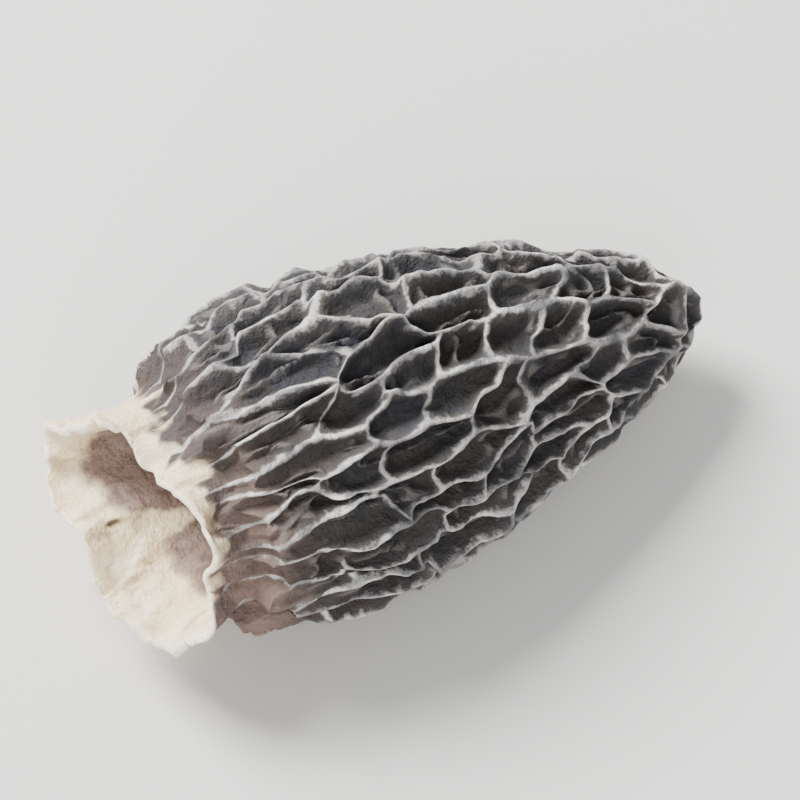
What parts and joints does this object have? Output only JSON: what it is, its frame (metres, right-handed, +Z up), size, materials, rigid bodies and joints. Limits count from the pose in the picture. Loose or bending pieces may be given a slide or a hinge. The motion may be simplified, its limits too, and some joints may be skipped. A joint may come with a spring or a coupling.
{
  "type": "dried morel mushroom",
  "caption": "Dried morel mushroom lying on its side: a dark cone-shaped cap with a net of raised ridges and sunken pits, on a short, flattened, hollow cream stem stub with a cut end.",
  "frame": {"origin": "on the surface that the mushroom lies on, under the middle of its box", "axes": "+X from the cut stem to the tip of the cap, +Y across it, +Z up from the surface"},
  "size_m": [0.0454, 0.0242, 0.0185],
  "materials": {
    "dried_morel": "matt, dry and leathery: near-black pits, paler ridge edges and a cream stem"
  },
  "bodies": {
    "root": {"dried_morel": "dried_morel"}
  },
  "joints": []
}
